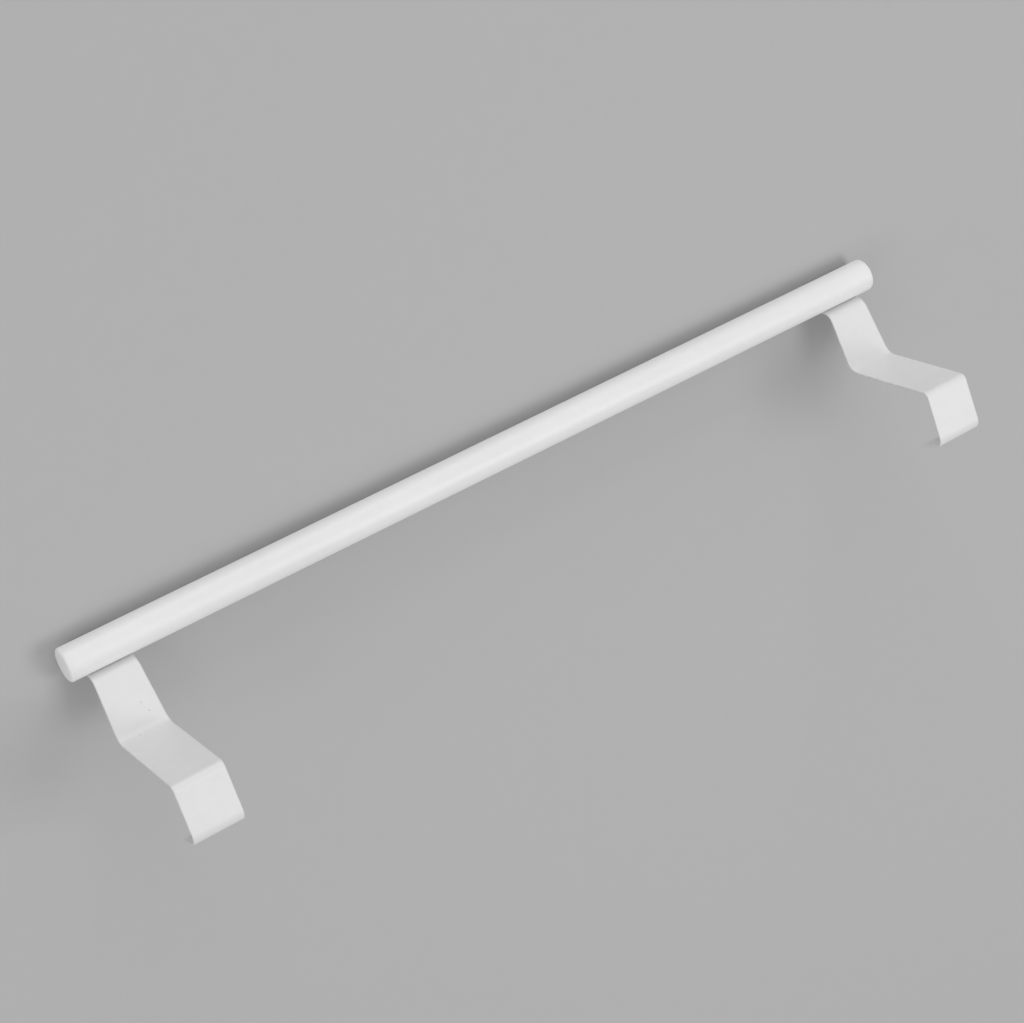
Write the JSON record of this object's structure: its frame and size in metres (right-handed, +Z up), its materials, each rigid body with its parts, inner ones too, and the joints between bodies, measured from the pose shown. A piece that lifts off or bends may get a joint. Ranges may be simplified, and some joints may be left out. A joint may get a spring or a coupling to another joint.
{
  "type": "over-door towel rack",
  "caption": "Round towel bar on bent strip hooks that hang over a door's top edge; screws from below hold the bar in its seats.",
  "frame": {"origin": "on the door's top front edge, midway between the hooks, where the back of a hook's plate meets the underside of its top", "axes": "+X along the bar, +Y from the room into the door, +Z up"},
  "size_m": [0.6126, 0.104, 0.121],
  "materials": {
    "white_coat": "satin white powder coat on steel",
    "white_cap": "satin white, matched to the bar",
    "zinc_steel": "bright zinc plate"
  },
  "bodies": {
    "root": {"rail_tube": "white_coat", "end_cap_left": "white_cap", "end_cap_right": "white_cap", "hook_bracket_left": "white_coat", "hook_bracket_right": "white_coat", "seat_screw_left": "zinc_steel", "seat_screw_right": "zinc_steel", "threaded_insert_left": "zinc_steel", "threaded_insert_right": "zinc_steel"}
  },
  "joints": []
}
